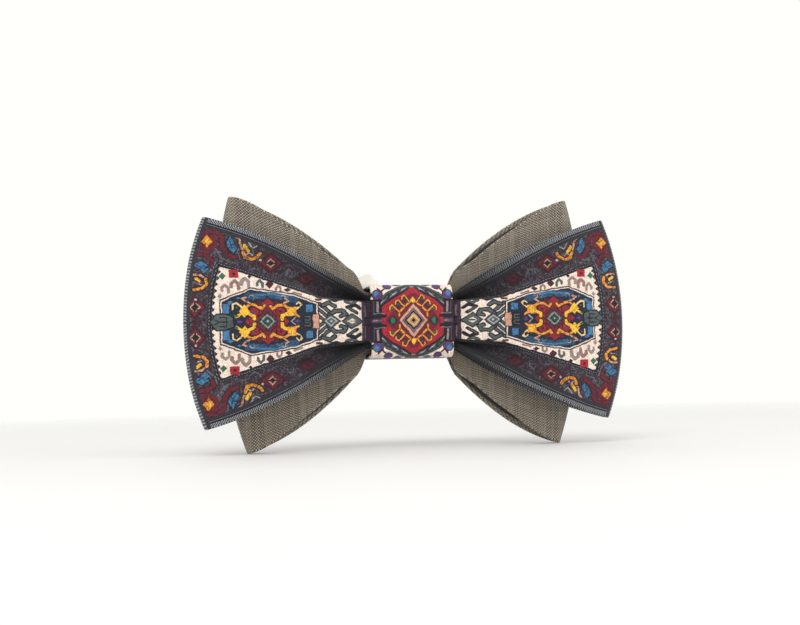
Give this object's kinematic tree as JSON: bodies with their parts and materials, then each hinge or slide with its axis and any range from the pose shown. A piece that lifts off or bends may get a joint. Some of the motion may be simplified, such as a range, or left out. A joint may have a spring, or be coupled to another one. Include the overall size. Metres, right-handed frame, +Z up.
{
  "type": "pre-tied double bow tie",
  "caption": "Pre-tied double bow tie with a carpet-print front bow, a plain taupe bow behind it, a wrapped knot and a folded neck strap with hook, slide and eye.",
  "frame": {"origin": "middle of the bounding box, which is the middle of the knot seen from the front", "axes": "+X along the bow to the right as seen from the front, +Z up, +Y from the front of the knot to its back"},
  "size_m": [0.1208, 0.0294, 0.067],
  "materials": {
    "printed_cloth": "printed carpet pattern",
    "taupe_cloth": "plain weave",
    "strap_cloth": "plain weave",
    "interlining": "felted",
    "thread": "spun",
    "nickel": "satin"
  },
  "bodies": {
    "bow": {"front_bow_cloth": "printed_cloth", "front_bow_interlining": "interlining", "front_bow_tack_stitches": "thread", "rear_bow_cloth": "taupe_cloth", "rear_bow_interlining": "interlining", "rear_bow_tack_stitches": "thread", "waist_binding_thread": "thread", "knot_band_cloth": "printed_cloth", "knot_band_interlining": "interlining", "knot_closing_stitches": "thread"},
    "strap_centre": {"strap_centre_run": "strap_cloth"},
    "hook_end": {"strap_hook_run": "strap_cloth", "hook": "nickel", "hook_stitches": "thread"},
    "strap_second": {"strap_second_run": "strap_cloth"},
    "strap_third": {"strap_third_run": "strap_cloth"},
    "strap_adjuster": {"strap_adjuster_run": "strap_cloth"},
    "slide": {"adjuster_slide": "nickel", "strap_return_run": "strap_cloth", "slide_stitches": "thread"},
    "eye": {"eye": "nickel"}
  },
  "joints": [
    {"name": "strap_in_knot_slide", "type": "slide", "parent": "bow", "child": "strap_centre", "axis": [1, 0, 0], "range_m": [-0.006, 0.006]},
    {"name": "first_fold", "type": "hinge", "parent": "strap_centre", "child": "strap_second", "pos_m": [0.0465, 0.0034, 0], "axis": [0, 0, -1], "range_deg": [0, 120]},
    {"name": "hook_end_fold", "type": "hinge", "parent": "strap_centre", "child": "hook_end", "pos_m": [-0.04, 0.0022, 0], "axis": [-0.1736, 0, 0.9848], "range_deg": [0, 120]},
    {"name": "second_fold", "type": "hinge", "parent": "strap_second", "child": "strap_third", "pos_m": [-0.0465, 0.00695, 0], "axis": [0, 0, 1], "range_deg": [0, 175]},
    {"name": "third_fold", "type": "hinge", "parent": "strap_third", "child": "strap_adjuster", "pos_m": [0.0465, 0.0102, 0], "axis": [0, 0, -1], "range_deg": [0, 175]},
    {"name": "slide_along_strap", "type": "slide", "parent": "strap_adjuster", "child": "slide", "axis": [1, 0, 0], "range_m": [-0.01, 0.01]},
    {"name": "eye_along_strap", "type": "slide", "parent": "slide", "child": "eye", "axis": [1, 0, 0], "range_m": [-0.0051, 0.0051]}
  ],
  "couplings": [
    {"joint": "hook_end_fold", "follows": "first_fold", "ratio": 1},
    {"joint": "eye_along_strap", "follows": "slide_along_strap", "ratio": -0.5}
  ]
}
